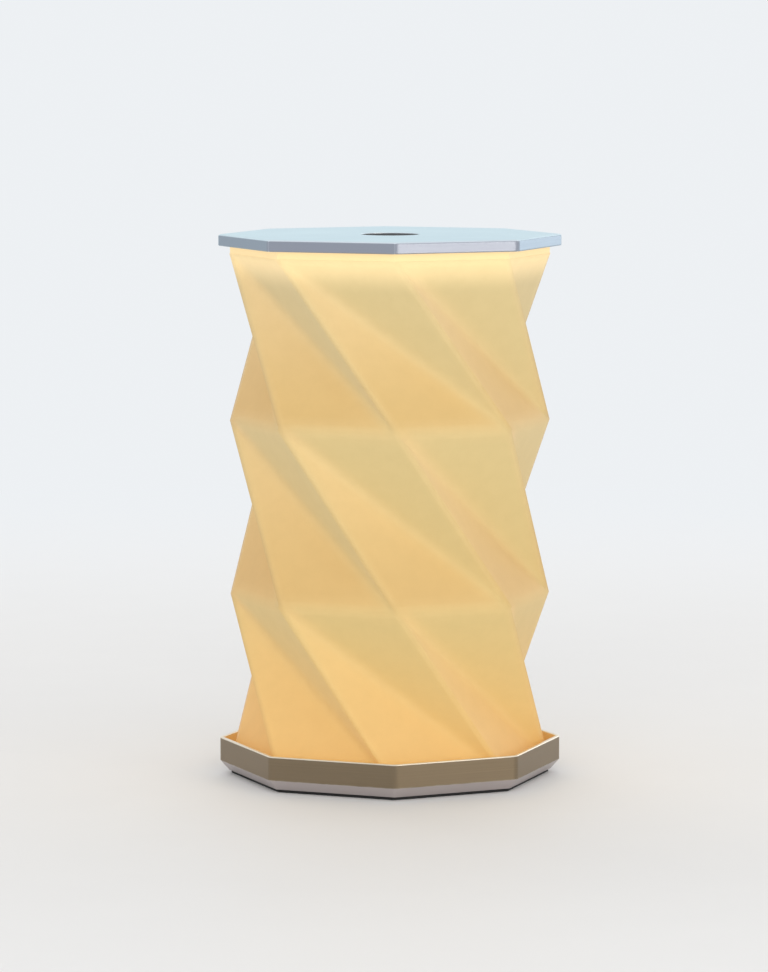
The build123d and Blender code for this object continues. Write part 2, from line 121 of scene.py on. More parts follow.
# The photograph's frame and the view that was fitted to it
PHOTO_WIDTH = 768
PHOTO_HEIGHT = 972
FOCAL_PIXELS = 4287.5
LONG_SENSOR = 36.0
NEAR_CLIP = 0.05

# Stage: segments of the floor, and the heights between which the world's light passes to the horizon's
FLOOR_SEGMENTS = 96
HORIZON_BAND = (0.34, 0.10)

# Soft lights: name, place, size, the setting with its watts, colour, and whether metal mirrors it
LIGHT_AIM = (0.0, 0.0, 0.11)
LIGHTS = (
    ("front_light", (-0.1, -2.0, 0.6), (2.0, 1.0), "front_energy", (1.0, 0.99, 0.97), False),
    ("back_light", (-0.2, 1.5, 1.5), (2.0, 1.0), "back_energy", (1.0, 0.99, 0.97), False),
    ("right_light", (1.4, -1.4, 0.5), (0.8, 0.9), "right_energy", (1.0, 0.94, 0.84), True),
    ("rim_light", (1.3, 1.3, 0.5), (0.8, 0.9), "rim_energy", (0.97, 0.97, 1.0), True),
)


def colour_property(name, description, value):
    """Colour setting with its name, what it is for and its value."""
    return FloatVectorProperty(
        name=name, description=description, default=value, size=3, subtype="COLOR", min=0.0, max=1.0
    )


def length_property(name, description, value, precision=4):
    """Length setting in metres."""
    return FloatProperty(
        name=name, description=description, default=value, unit="LENGTH", precision=precision
    )


def angle_property(name, description, degrees):
    """Angle setting, given in degrees."""
    return FloatProperty(name=name, description=description, default=radians(degrees), subtype="ANGLE")


def power_property(name, description, watts):
    """Power setting of a light."""
    return FloatProperty(name=name, description=description, default=watts, unit="POWER")


class LampShadeSettings(bpy.types.PropertyGroup):
    """Sizes and colours of the folded paper."""

    storeys: IntProperty(
        name="Storeys", description="Rows of folds, one above the other", default=3, min=1, max=6
    )
    turn: angle_property("Turn", "How far each crease ring stands on from the ring above it", 45.0)
    free_turn: angle_property("Free ring turn", "How much further the two free rings stand on", 1.0)
    steps: IntProperty(
        name="Steps", description="Mesh steps along one side and one storey", default=24, min=4, max=48
    )
    paper: length_property("Paper", "Thickness of the sheet", 0.0003, precision=5)
    flange: length_property("Flange", "Width folded in at each end", 0.006)
    glow_low: colour_property(
        "Standing glow", "Light through the facets that stand on the lower ring", (0.38, 0.247, 0.150)
    )
    glow_high: colour_property(
        "Hanging glow", "Light through the facets that hang from the upper ring", (0.27, 0.205, 0.122)
    )
    glow_deep: colour_property(
        "Deep glow", "Light through the far lower end of a standing facet", (0.26, 0.105, 0.012)
    )
    glow_top: colour_property("Top glow", "Light just under the cover", (0.72, 0.53, 0.30))
    glow_foot: colour_property("Foot glow", "Light just over the tray", (0.56, 0.22, 0.03))
    glow_seam: colour_property(
        "Seam glow", "Light where the sheet is glued over itself or pressed at a ring", (0.16, 0.07, 0.01)
    )
    paper_colour: colour_property("Paper colour", "The sheet unlit", (0.40, 0.33, 0.15))
    warming: colour_property(
        "Warming", "What the light is multiplied by at the foot, far from its sources", (1.0, 0.76, 0.32)
    )
    glow_strength: FloatProperty(
        name="Glow strength", description="Strength of the paper's own light", default=1.0
    )


class LampFinishSettings(bpy.types.PropertyGroup):
    """Colours of the metal, plastic and electronic pieces."""

    # The cover's cool blue tint and its blue tint at a glance are a painted reflection of bluish light from
    # above; the cover is the same aluminium as the tray.
    cover: colour_property("Cover", "Cool blasted aluminium of the top", (0.82, 0.88, 0.96))
    cover_glance: colour_property(
        "Cover at a glance", "Tint of the cover seen at a flat angle", (0.81, 0.98, 1.0)
    )
    # Darker cover sides: painted shade for the little light the upright sides catch.
    cover_side_shade: colour_property("Cover edge", "Brushed edge of the cover", (0.34, 0.36, 0.42))
    # Rubbed bright edges of the cover, also a painted edge highlight.
    cover_worn_highlight: colour_property("Cover worn", "Rubbed edges of the cover", (0.95, 0.97, 1.0))
    # The tray's warm brown tint is a painted reflection of the shade's warm glow; the tray is the same
    # aluminium as the cover.
    tray: colour_property("Tray", "Warm brushed aluminium of the base", (0.25, 0.195, 0.13))
    # Pale warm rim and inside of the tray: painted light from the shade's glow, and a painted highlight
    # along the rim.
    tray_inside_glow: colour_property("Tray inside", "Bright rim and inside of the tray", (0.88, 0.80, 0.66))
    # Rubbed bright edges of the tray, also a painted edge highlight.
    tray_worn_highlight: colour_property("Tray worn", "Rubbed edges of the tray", (0.80, 0.76, 0.70))
    # Lighter bevel: partly an etched finish, partly a painted reflection of the lit floor.
    bevel: colour_property("Bevel", "Etched bevel round the tray's foot", (0.46, 0.41, 0.40))
    steel: colour_property("Steel", "Zinc plated steel", (0.55, 0.56, 0.58))
    steel_worn: colour_property("Steel worn", "Rubbed edges of the steel", (0.86, 0.86, 0.86))
    black: colour_property("Black plastic", "Button, plunger and switch", (0.012, 0.012, 0.014))
    white: colour_property("White plastic", "Chassis and clamp rings", (0.78, 0.77, 0.74))
    rubber: colour_property("Foot rubber", "Pad under the tray", (0.010, 0.010, 0.010))
    silicone: colour_property("Silicone", "Return ring of the button", (0.55, 0.56, 0.57))
    opal: colour_property("Opal plastic", "Diffuser under the light sources", (0.86, 0.84, 0.79))
    phosphor: colour_property("Phosphor", "Faces of the light sources", (0.85, 0.62, 0.10))
    foil: colour_property("Cell foil", "Skin of the rechargeable cell", (0.62, 0.63, 0.65))
    lamp_light: colour_property("Lamp light", "Colour of the light sources", (1.0, 0.80, 0.52))
    green_mask: colour_property("Green mask", "Control and charging boards", (0.015, 0.10, 0.045))
    green_track: colour_property("Green track", "Tracks under the green mask", (0.03, 0.19, 0.085))
    white_mask: colour_property("White mask", "Board of the light sources", (0.80, 0.80, 0.78))
    white_track: colour_property("White track", "Tracks under the white mask", (0.70, 0.70, 0.67))
    flex_film: colour_property("Strip film", "Film of the flexible strips", (0.46, 0.19, 0.035))
    flex_track: colour_property("Strip track", "Tracks of the flexible strips", (0.60, 0.30, 0.08))


class LampStageSettings(bpy.types.PropertyGroup):
    """Camera, floor and light."""

    azimuth: angle_property("Azimuth", "Camera's turn from the front corner", -1.454)
    pitch: angle_property("Pitch", "How far the camera looks down", 6.121)
    distance: length_property("Distance", "Camera to aim point", 1.7604)
    aim_height: length_property("Aim height", "Height of the aim point", 0.11893, precision=5)
    aim_side: length_property("Aim offset", "Aim point to the right of the axis", -0.00247, precision=5)
    floor_radius: length_property("Floor radius", "Reach of the floor", 6.0)
    sweep_start: length_property("Sweep start", "Where the floor begins to run into the backdrop", 0.35)
    sweep_end: length_property("Sweep end", "Where the floor has the backdrop's tone", 1.1)
    floor: colour_property("Floor", "Plain pale floor", (0.78, 0.77, 0.755))
    backdrop: colour_property("Backdrop", "What is seen behind the floor", (0.85, 0.875, 0.90))
    ambient: colour_property("Ambient", "Light from all round", (0.95, 0.97, 1.0))
    ambient_strength: FloatProperty(
        name="Ambient strength", description="Level of the light from above", default=0.75
    )
    horizon_strength: FloatProperty(
        name="Horizon strength", description="Level of the light all round", default=1.0
    )
    front_energy: power_property("Front light", "Soft light by the camera", 20.0)
    back_energy: power_property("Back light", "Soft light opposite", 12.0)
    right_energy: power_property("Right light", "Soft light from the front right", 6.0)
    rim_energy: power_property("Rim light", "Soft light from the back right", 3.2)


def material(name):
    """New node material with its Principled shader, ready to be linked."""
    made = bpy.data.materials.new(name)
    made.use_nodes = True
    return made, made.node_tree, made.node_tree.nodes["Principled BSDF"]


def add_object(name, data):
    """New object in the scene."""
    made = bpy.data.objects.new(name, data)
    bpy.context.scene.collection.objects.link(made)
    return made


def put(tree, socket, value):
    """Link a socket into another one, or set the plain value there."""
    if isinstance(value, bpy.types.NodeSocket):
        tree.links.new(value, socket)
    else:
        socket.default_value = value


def node(tree, kind, inputs=None, **settings):
    """Add one node, set its properties and then its inputs, each by a socket or a plain value."""
    made = tree.nodes.new(kind)
    for key, value in settings.items():
        setattr(made, key, value)
    for key, value in (inputs or {}).items():
        put(tree, made.inputs[key], value)
    return made


def calc(tree, operation, *values):
    """Math node on sockets or numbers; returns its result."""
    return node(tree, "ShaderNodeMath", dict(enumerate(values)), operation=operation).outputs[0]


def smooth_range(tree, value, low, high):
    """0 up to low, 1 from high on, smooth between."""
    inputs = {"Value": value, "From Min": low, "From Max": high}
    return node(tree, "ShaderNodeMapRange", inputs, interpolation_type="SMOOTHSTEP").outputs["Result"]


def blend_colour(tree, factor, first, second, how="MIX"):
    """Mix two colours, each a socket or a plain colour."""
    inputs = {0: factor, 6: first, 7: second}
    return node(tree, "ShaderNodeMix", inputs, data_type="RGBA", blend_type=how).outputs[2]


def opaque(colour):
    """Colour with full alpha, as colour sockets take it."""
    return (*colour, 1.0)


def noise(tree, place, scale, detail=2.0, roughness=0.5):
    """Noise factor at a place given in metres; scale is in turns per metre."""
    inputs = {"Vector": place, "Scale": scale, "Detail": detail, "Roughness": roughness}
    return node(tree, "ShaderNodeTexNoise", inputs).outputs["Fac"]


def effect(name, inputs, outputs):
    """Empty shader node group; returns its tree, the sockets it is given and those of its results."""
    tree = bpy.data.node_groups.new(name, "ShaderNodeTree")
    for label, default in inputs.items():
        kind = "NodeSocketVector" if default is None else "NodeSocketFloat"
        socket = tree.interface.new_socket(name=label, in_out="INPUT", socket_type=kind)
        if default is not None:
            socket.default_value = default
    for label in outputs:
        tree.interface.new_socket(name=label, in_out="OUTPUT", socket_type="NodeSocketFloat")
    return tree, tree.nodes.new("NodeGroupInput").outputs, tree.nodes.new("NodeGroupOutput").inputs


def use_effect(tree, name, **values):
    """Place a shared effect in a material's tree; returns its outputs."""
    inputs = {label.capitalize(): value for label, value in values.items()}
    return node(tree, "ShaderNodeGroup", inputs, node_tree=bpy.data.node_groups[name]).outputs


def brushed_effect():
    """Long fine streaks that run level round upright faces, and the even satin of blasted metal."""
    tree, given, result = effect("Brushed metal", {"Place": None}, ("Streak", "Satin"))
    stretch = node(tree, "ShaderNodeMapping", {"Vector": given["Place"], "Scale": (14.0, 14.0, 2600.0)})
    put(tree, result["Streak"], noise(tree, stretch.outputs["Vector"], 1.0, 3.0, 0.6))
    put(tree, result["Satin"], noise(tree, given["Place"], 3200.0, 2.0, 0.7))


def wear_and_highlight_effect():
    """Where edges are rubbed bright, also used as a painted edge highlight on the metal: the bevelled normal
    leaves the true one, broken up by noise.
    """
    tree, given, result = effect("Edge wear", {"Place": None, "Width": 0.0006, "Amount": 1.0}, ("Wear",))
    rounded = node(tree, "ShaderNodeBevel", {"Radius": given["Width"]}, samples=6)
    geometry = tree.nodes.new("ShaderNodeNewGeometry")
    normals = {0: rounded.outputs["Normal"], 1: geometry.outputs["True Normal"]}
    aligned = node(tree, "ShaderNodeVectorMath", normals, operation="DOT_PRODUCT")
    bent = smooth_range(tree, calc(tree, "SUBTRACT", 1.0, aligned.outputs["Value"]), 0.004, 0.09)
    patches = smooth_range(tree, noise(tree, given["Place"], 190.0, 4.0, 0.65), 0.36, 0.62)
    worn = calc(tree, "MULTIPLY", bent, patches)
    put(tree, result["Wear"], calc(tree, "MULTIPLY", worn, given["Amount"]))


def handling_effect():
    """Soft clouds that stand for finger marks, and scattered specks of dust."""
    tree, given, result = effect("Handling", {"Place": None}, ("Smudge", "Dust"))
    put(tree, result["Smudge"], noise(tree, given["Place"], 26.0, 3.0, 0.55))
    specks = noise(tree, given["Place"], 900.0, 1.0, 0.4)
    put(tree, result["Dust"], smooth_range(tree, specks, 0.66, 0.76))


def moulded_effect():
    """Spark-eroded grain of moulded plastic and rubber."""
    tree, given, result = effect("Moulded grain", {"Place": None, "Scale": 1800.0}, ("Grain", "Flow"))
    put(tree, result["Grain"], noise(tree, given["Place"], given["Scale"], 3.0, 0.6))
    put(tree, result["Flow"], noise(tree, given["Place"], 60.0, 2.0, 0.5))


def octagon_effect():
    """How far a place lies from the axis, measured square to the nearest side of the octagon."""
    tree, given, result = effect("Octagon reach", {"Place": None}, ("Reach",))
    turned = node(tree, "ShaderNodeMapping", {"Vector": given["Place"], "Rotation": (0.0, 0.0, HALF_SIDE)})
    parts = node(tree, "ShaderNodeSeparateXYZ", {"Vector": turned.outputs["Vector"]})
    along_x = calc(tree, "ABSOLUTE", parts.outputs["X"])
    along_y = calc(tree, "ABSOLUTE", parts.outputs["Y"])
    slanted = calc(tree, "MULTIPLY", calc(tree, "ADD", along_x, along_y), cos(pi / 4.0))
    square = calc(tree, "MAXIMUM", along_x, along_y)
    put(tree, result["Reach"], calc(tree, "MAXIMUM", slanted, square))


def paper_effect():
    """Fibres and cloudy formation of a translucent paper, by the place on the flat sheet."""
    tree, given, result = effect("Paper fibres", {"Place": None}, ("Cloud", "Fibre"))
    cloud = noise(tree, given["Place"], 130.0, 4.0, 0.6)
    put(tree, result["Cloud"], smooth_range(tree, cloud, 0.28, 0.72))
    strands = []
    for scale, slant in (((2400.0, 420.0, 900.0), 0.5), ((460.0, 2100.0, 900.0), -0.35)):
        laid = {"Vector": given["Place"], "Scale": scale, "Rotation": (0.0, 0.0, slant)}
        strand = node(tree, "ShaderNodeMapping", laid).outputs["Vector"]
        strands.append(noise(tree, strand, 1.0, 2.0, 0.6))
    put(tree, result["Fibre"], calc(tree, "MULTIPLY", calc(tree, "ADD", *strands), 0.5))


def place_of(tree):
    """Object coordinates, in metres in the lamp's frame."""
    return tree.nodes.new("ShaderNodeTexCoord").outputs["Object"]


def bump(tree, shader, height, distance, strength=1.0):
    """Raise the surface by a height, over the rounded normal if the shader already has one."""
    inputs = {"Height": height, "Distance": distance, "Strength": strength}
    normal = shader.inputs["Normal"]
    if normal.is_linked:
        inputs["Normal"] = normal.links[0].from_socket
    put(tree, normal, node(tree, "ShaderNodeBump", inputs).outputs["Normal"])


def round_edges(tree, shader, radius):
    """Let sharp edges catch the light as if broken by a small radius."""
    made = node(tree, "ShaderNodeBevel", {"Radius": radius}, samples=6)
    put(tree, shader.inputs["Normal"], made.outputs["Normal"])


def metal(name, colour, roughness, worn_and_highlight_colour, grain=1.0, edge=0.00035):
    """Brushed or blasted metal with faint finger marks and rubbed edges, which on the cover and tray also
    serve as a painted edge highlight.
    """
    made, tree, shader = material(name)
    place = place_of(tree)
    brushed = use_effect(tree, "Brushed metal", place=place)
    wear = use_effect(tree, "Edge wear", place=place, width=0.0007)
    handling = use_effect(tree, "Handling", place=place)
    darker = opaque([c * (1.0 - 0.16 * grain) for c in colour])
    lighter = opaque([min(1.0, c * (1.0 + 0.10 * grain)) for c in colour])
    streaked = blend_colour(tree, brushed["Streak"], darker, lighter)
    # Rubbed edges painted lighter: real wear, and on the cover and tray a painted edge highlight.
    worn = blend_colour(tree, wear["Wear"], streaked, opaque(worn_and_highlight_colour))
    put(tree, shader.inputs["Base Color"], worn)
    shader.inputs["Metallic"].default_value = 1.0
    rough = calc(tree, "MULTIPLY_ADD", handling["Smudge"], FINGER_MARKS, roughness - 0.09)
    rough = calc(tree, "MULTIPLY_ADD", brushed["Streak"], 0.14 * grain, rough)
    put(tree, shader.inputs["Roughness"], rough)
    round_edges(tree, shader, edge)
    relief = calc(tree, "MULTIPLY_ADD", brushed["Streak"], 1.6, brushed["Satin"])
    bump(tree, shader, relief, 0.000012 * grain, 0.5)
    return made


def plastic(name, colour, roughness, grain_scale=1800.0, relief=0.00002, variation=0.06):
    """Moulded plastic or rubber: fine grain, slight change of tone, edges a little polished."""
    made, tree, shader = material(name)
    place = place_of(tree)
    moulded = use_effect(tree, "Moulded grain", place=place, scale=grain_scale)
    handling = use_effect(tree, "Handling", place=place)
    wear = use_effect(tree, "Edge wear", place=place, width=0.0005, amount=0.6)
    darker = opaque([c * (1.0 - variation) for c in colour])
    lighter = opaque([min(1.0, c * (1.0 + variation)) for c in colour])
    toned = blend_colour(tree, moulded["Flow"], darker, lighter)
    polished = opaque([min(1.0, c * 1.25 + 0.01) for c in colour])
    put(tree, shader.inputs["Base Color"], blend_colour(tree, wear["Wear"], toned, polished))
    rough = calc(tree, "MULTIPLY_ADD", handling["Smudge"], 0.14, roughness - 0.07)
    put(tree, shader.inputs["Roughness"], rough)
    round_edges(tree, shader, 0.0003)
    bump(tree, shader, moulded["Grain"], relief)
    return made, shader


def finish_nodes(made, *names):
    """Give CAD nodes a material in every slot."""
    for name in names:
        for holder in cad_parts[name].material_slots:
            holder.material = made


def ring_point(tree, given, index, level):
    """Corner of a crease ring as a field: x, y and z from its index and its level below the top."""
    on = calc(tree, "GREATER_THAN", level, 0.5)
    last = calc(tree, "SUBTRACT", given["Storeys"], 0.5)
    between = calc(tree, "MULTIPLY", on, calc(tree, "LESS_THAN", level, last))
    free = calc(tree, "MULTIPLY", between, given["Free turn"])
    turned = calc(tree, "MULTIPLY_ADD", level, given["Turn"], free)
    angle = calc(tree, "MULTIPLY_ADD", index, 2.0 * HALF_SIDE, turned)
    height = calc(tree, "SUBTRACT", given["Top"], calc(tree, "MULTIPLY", level, given["Storey height"]))
    height = calc(tree, "MINIMUM", height, given["Upper edge"])
    place = {
        "X": calc(tree, "MULTIPLY", given["Radius"], calc(tree, "COSINE", angle)),
        "Y": calc(tree, "MULTIPLY", given["Radius"], calc(tree, "SINE", angle)),
        "Z": calc(tree, "MAXIMUM", height, given["Lower edge"]),
    }
    return node(tree, "ShaderNodeCombineXYZ", place).outputs["Vector"]


def along(tree, start, end, share):
    """Vector from start towards end, times a share."""
    reach = node(tree, "ShaderNodeVectorMath", {0: end, 1: start}, operation="SUBTRACT")
    inputs = {0: reach.outputs["Vector"], "Scale": share}
    return node(tree, "ShaderNodeVectorMath", inputs, operation="SCALE").outputs["Vector"]


def total(tree, *vectors):
    """Sum of vectors."""
    result = vectors[0]
    for extra in vectors[1:]:
        added = node(tree, "ShaderNodeVectorMath", {0: result, 1: extra}, operation="ADD")
        result = added.outputs["Vector"]
    return result


def choose(tree, test, when_false, when_true, kind):
    """Switch between two fields."""
    inputs = {"Switch": test, "False": when_false, "True": when_true}
    return node(tree, "GeometryNodeSwitch", inputs, input_type=kind).outputs["Output"]


def store(tree, geometry, name, value, domain="POINT"):
    """Keep a field under a name on the mesh."""
    inputs = {"Geometry": geometry, "Name": name, "Value": value}
    made = node(tree, "GeometryNodeStoreNamedAttribute", inputs, data_type="FLOAT", domain=domain)
    return made.outputs["Geometry"]


def stored(tree, name):
    """Read a named field."""
    made = node(tree, "GeometryNodeInputNamedAttribute", {"Name": name}, data_type="FLOAT")
    return made.outputs["Attribute"]


def step_on(tree, kind, geometry, **inputs):
    """Geometry after one more node, whose other inputs are sockets or plain values."""
    return node(tree, kind, {"Geometry": geometry, **inputs}).outputs["Geometry"]


FOLD_INPUTS = {
    "NodeSocketInt": ("Storeys", "Steps"),
    "NodeSocketFloat": ("Turn", "Free turn", "Radius", "Top", "Storey height", "Upper edge", "Lower edge"),
    "NodeSocketMaterial": ("Paper",),
}


def flat_grid(tree, given):
    """Grid of the sheet, one unit a side and a storey, cut along the valley folds."""
    inputs = {
        "Size X": float(SIDES),
        "Size Y": given["Storeys"],
        "Vertices X": calc(tree, "MULTIPLY_ADD", given["Steps"], float(SIDES), 1.0),
        "Vertices Y": calc(tree, "MULTIPLY_ADD", given["Steps"], given["Storeys"], 1.0),
    }
    grid = node(tree, "GeometryNodeMeshGrid", inputs)
    cut = node(tree, "GeometryNodeTriangulate", {"Mesh": grid.outputs["Mesh"]}, quad_method="FIXED")
    place = tree.nodes.new("GeometryNodeInputPosition").outputs["Position"]
    flat = node(tree, "ShaderNodeSeparateXYZ", {"Vector": place})
    geometry = store(tree, cut.outputs["Mesh"], "across", calc(tree, "ADD", flat.outputs["X"], SIDES / 2.0))
    row = calc(tree, "MULTIPLY_ADD", given["Storeys"], 0.5, flat.outputs["Y"])
    return store(tree, geometry, "row", row)


def cell_places(tree):
    """Fields for the place within a cell: storey from the top, side, and the shares across and down."""
    across = stored(tree, "across")
    row = stored(tree, "row")
    return {
        "row": row,
        "index": calc(tree, "FLOOR", across),
        "side": calc(tree, "FRACT", across),
        "level": calc(tree, "FLOOR", row),
        "drop": calc(tree, "FRACT", row),
    }


def folded_place(tree, given, cell):
    """Where a point of the flat grid goes once its facet is folded."""
    next_index = calc(tree, "ADD", cell["index"], 1.0)
    next_level = calc(tree, "ADD", cell["level"], 1.0)
    upper = ring_point(tree, given, cell["index"], cell["level"])
    upper_next = ring_point(tree, given, next_index, cell["level"])
    lower = ring_point(tree, given, cell["index"], next_level)
    lower_next = ring_point(tree, given, next_index, next_level)
    hanging_side = along(tree, upper, upper_next, cell["side"])
    hanging = total(tree, upper, hanging_side, along(tree, upper_next, lower_next, cell["drop"]))
    standing_side = along(tree, lower, lower_next, cell["side"])
    standing = total(tree, upper, along(tree, upper, lower, cell["drop"]), standing_side)
    is_hanging = calc(tree, "GREATER_THAN", cell["side"], cell["drop"])
    return choose(tree, is_hanging, standing, hanging, "VECTOR")


def blurred(tree, value, times, weight=1.0, kind="FLOAT"):
    """Field evened out over neighbouring points."""
    inputs = {"Value": value, "Iterations": times, "Weight": weight}
    return node(tree, "GeometryNodeBlurAttribute", inputs, data_type=kind).outputs["Value"]


def valley_softness(tree, cell):
    """1 along the valley folds, 0 at the outward creases, at the rings and where the folds meet."""
    off = calc(tree, "ABSOLUTE", calc(tree, "SUBTRACT", cell["side"], cell["drop"]))
    soft = smooth_range(tree, off, *VALLEY_REACH)
    for share in (cell["side"], cell["drop"]):
        for from_end in (share, calc(tree, "SUBTRACT", 1.0, share)):
            soft = calc(tree, "MULTIPLY", soft, smooth_range(tree, from_end, *VALLEY_ENDS))
    return soft


def fold_tree():
    """Geometry nodes that fold the flat grid and store what the paper's colour needs."""
    tree = bpy.data.node_groups.new("Folded paper storeys", "GeometryNodeTree")
    for kind, labels in FOLD_INPUTS.items():
        for label in labels:
            tree.interface.new_socket(name=label, in_out="INPUT", socket_type=kind)
    tree.interface.new_socket(name="Geometry", in_out="OUTPUT", socket_type="NodeSocketGeometry")
    given = tree.nodes.new("NodeGroupInput").outputs
    geometry = flat_grid(tree, given)
    cell = cell_places(tree)
    to_middle = calc(tree, "SUBTRACT", BOW_MIDDLE, cell["drop"])
    bow = calc(tree, "MULTIPLY_ADD", to_middle, TONE_BOW, cell["drop"])
    hanging = calc(tree, "GREATER_THAN", cell["side"], bow)
    geometry = store(tree, geometry, "hanging", hanging, domain="FACE")
    geometry = store(tree, geometry, "soft", valley_softness(tree, cell))
    geometry = store(tree, geometry, "drop", cell["drop"], domain="FACE")
    seam = calc(tree, "LESS_THAN", stored(tree, "across"), SEAM_SHARE)
    geometry = store(tree, geometry, "seam", seam)
    nearest_ring = calc(tree, "ROUND", cell["row"])
    ring_gap = calc(tree, "ABSOLUTE", calc(tree, "SUBTRACT", cell["row"], nearest_ring))
    geometry = store(tree, geometry, "ring", smooth_range(tree, ring_gap, RING_REACH, 0.0))
    place = folded_place(tree, given, cell)
    geometry = step_on(tree, "GeometryNodeSetPosition", geometry, Position=place)
    geometry = step_on(tree, "GeometryNodeMergeByDistance", geometry, Distance=MERGE_DISTANCE)
    place = tree.nodes.new("GeometryNodeInputPosition").outputs["Position"]
    evened = blurred(tree, place, VALLEY_BLUR, stored(tree, "soft"), "FLOAT_VECTOR")
    geometry = step_on(tree, "GeometryNodeSetPosition", geometry, Position=evened)
    tone = blurred(tree, stored(tree, "hanging"), CREASE_BLUR)
    geometry = store(tree, geometry, "fold", blurred(tree, tone, VALLEY_BLUR, stored(tree, "soft")))
    geometry = store(tree, geometry, "fall", blurred(tree, stored(tree, "drop"), CREASE_BLUR))
    geometry = step_on(tree, "GeometryNodeSetShadeSmooth", geometry)
    geometry = step_on(tree, "GeometryNodeRealizeInstances", geometry)
    geometry = step_on(tree, "GeometryNodeSetMaterial", geometry, Material=given["Paper"])
    put(tree, tree.nodes.new("NodeGroupOutput").inputs["Geometry"], geometry)
    return tree


def fold_paper(settings, paper):
    """Run the geometry nodes once and give the sheet its thickness; returns a plain mesh object."""
    holder = add_object("folding", bpy.data.meshes.new("folding"))
    tree = fold_tree()
    values = {
        "Storeys": settings.storeys,
        "Steps": settings.steps,
        "Turn": settings.turn,
        "Free turn": settings.free_turn,
        "Radius": SHADE_RADIUS - CORNER_SETBACK * settings.paper / cos(HALF_SIDE),
        "Top": SHADE_HIGH[2],
        "Storey height": (SHADE_HIGH[2] - SHADE_LOW[2]) / settings.storeys,
        "Upper edge": UPPER_EDGE,
        "Lower edge": LOWER_EDGE,
        "Paper": paper,
    }
    folding = holder.modifiers.new("Fold", "NODES")
    folding.node_group = tree
    for item in tree.interface.items_tree:
        if item.in_out == "INPUT":
            folding[item.identifier] = values[item.name]
    sheet = holder.modifiers.new("Sheet", "SOLIDIFY")
    sheet.thickness = settings.paper
    sheet.offset = -1.0
    bpy.context.view_layer.update()
    seen = holder.evaluated_get(bpy.context.evaluated_depsgraph_get())
    mesh = bpy.data.meshes.new_from_object(seen)
    bpy.data.objects.remove(holder)
    return add_object("folded_shade", mesh)


def paper_collar(name, edge, plate, row, settings, paper):
    """End of the sheet: upright round the clamp ring, then folded in behind it as a flange."""
    thickness = settings.paper if plate < edge else -settings.paper
    inner = SHADE_RADIUS - settings.paper / cos(HALF_SIDE)
    end = SHADE_RADIUS - settings.flange / cos(HALF_SIDE)
    profile = (
        (SHADE_RADIUS, edge),
        (SHADE_RADIUS, plate),
        (end, plate),
        (end, plate + thickness),
        (inner, plate + thickness),
        (inner, edge),
    )
    shape = bmesh.new()
    columns = []
    for corner in range(SIDES):
        angle = 2.0 * HALF_SIDE * corner
        columns.append([shape.verts.new((r * cos(angle), r * sin(angle), z)) for r, z in profile])
    for here, after in zip(columns, columns[1:] + columns[:1]):
        for low in range(len(profile)):
            high = (low + 1) % len(profile)
            shape.faces.new((here[low], after[low], after[high], here[high]))
    bmesh.ops.recalc_face_normals(shape, faces=shape.faces)
    mesh = bpy.data.meshes.new(name)
    shape.to_mesh(mesh)
    shape.free()
    rows = mesh.attributes.new("row", "FLOAT", "POINT")
    rows.data.foreach_set("value", [float(row)] * len(mesh.vertices))
    mesh.materials.append(paper)
    return add_object(name, mesh)


def attribute(tree, name):
    """Value of a named attribute in a material."""
    return node(tree, "ShaderNodeAttribute", attribute_name=name).outputs["Fac"]


def paper_place(tree, row):
    """Place on the flat sheet, in metres, so that its fibres run on across the folds."""
    across = calc(tree, "MULTIPLY", attribute(tree, "across"), SIDE_LENGTH)
    flat = {
        "X": calc(tree, "MULTIPLY_ADD", row, CREASE_SHIFT, across),
        "Y": calc(tree, "MULTIPLY", row, STRIP_HEIGHT),
    }
    return node(tree, "ShaderNodeCombineXYZ", flat).outputs["Vector"]


def paper_glow(tree, settings, row, cloud):
    """Light through the paper: a tone for each kind of facet, whiter at the top and warmer at the foot."""
    fold = attribute(tree, "fold")
    glow = blend_colour(tree, fold, opaque(settings.glow_low), opaque(settings.glow_high))
    deep = calc(tree, "MULTIPLY", smooth_range(tree, attribute(tree, "fall"), *DEEP_REACH), DEEP_SHARE)
    deep = calc(tree, "MULTIPLY", deep, calc(tree, "SUBTRACT", 1.0, fold))
    glow = blend_colour(tree, deep, glow, opaque(settings.glow_deep))
    lower = calc(tree, "DIVIDE", row, float(settings.storeys))
    glow = blend_colour(tree, lower, glow, opaque(settings.warming), "MULTIPLY")
    near_top = calc(tree, "MULTIPLY", smooth_range(tree, row, TOP_REACH, 0.0), TOP_SHARE)
    glow = blend_colour(tree, near_top, glow, opaque(settings.glow_top))
    to_foot = calc(tree, "SUBTRACT", float(settings.storeys), row)
    near_foot = calc(tree, "MULTIPLY", smooth_range(tree, to_foot, FOOT_REACH, 0.0), FOOT_SHARE)
    glow = blend_colour(tree, near_foot, glow, opaque(settings.glow_foot))
    cloudy = blend_colour(tree, cloud, opaque(CLOUD_TONE), opaque((1.0, 1.0, 1.0)))
    glow = blend_colour(tree, 1.0, glow, cloudy, "MULTIPLY")
    for name, darkness in (("seam", SEAM_DARKNESS), ("ring", RING_DARKNESS)):
        share = calc(tree, "MULTIPLY", attribute(tree, name), darkness)
        glow = blend_colour(tree, share, glow, opaque(settings.glow_seam))
    return glow


